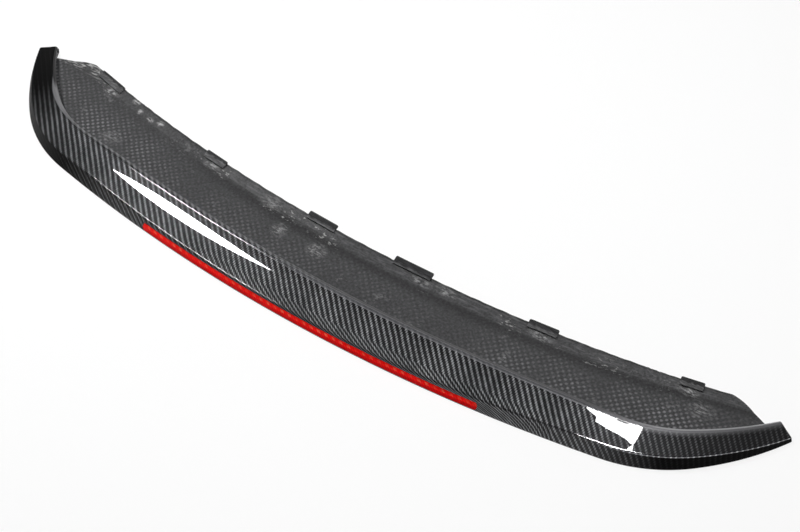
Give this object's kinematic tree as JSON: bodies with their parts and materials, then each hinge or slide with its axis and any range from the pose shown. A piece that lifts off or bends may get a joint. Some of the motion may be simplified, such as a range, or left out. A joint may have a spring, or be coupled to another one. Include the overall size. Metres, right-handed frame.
{
  "type": "car rear spoiler",
  "caption": "Hollow lip spoiler for a car's boot lid in glossy carbon-fibre laminate, open underside up, with a slim red brake lamp along its trailing edge and small tabs on its front flange.",
  "frame": {"origin": "middle of the overall length and depth, on the surface it lies on", "axes": "+X along the spoiler, across the car; -Y towards the trailing edge with the lamp; +Z out of the open underside, up as it lies"},
  "size_m": [1.0508, 0.1884, 0.0272],
  "materials": {
    "carbon_laminate": "clear-coated twill carbon-fibre laminate outside, bare resin weave inside",
    "red_acrylic": "polished transparent red acrylic",
    "black_abs": "moulded black plastic",
    "board": "white solder mask",
    "diode": "clear resin over a yellow chip",
    "tab_plastic": "black plastic sheet"
  },
  "bodies": {
    "root": {"spoiler_shell": "carbon_laminate", "lamp_lens": "red_acrylic", "lamp_housing": "black_abs", "led_board": "board", "leds": "diode", "locating_tabs": "tab_plastic"}
  },
  "joints": []
}
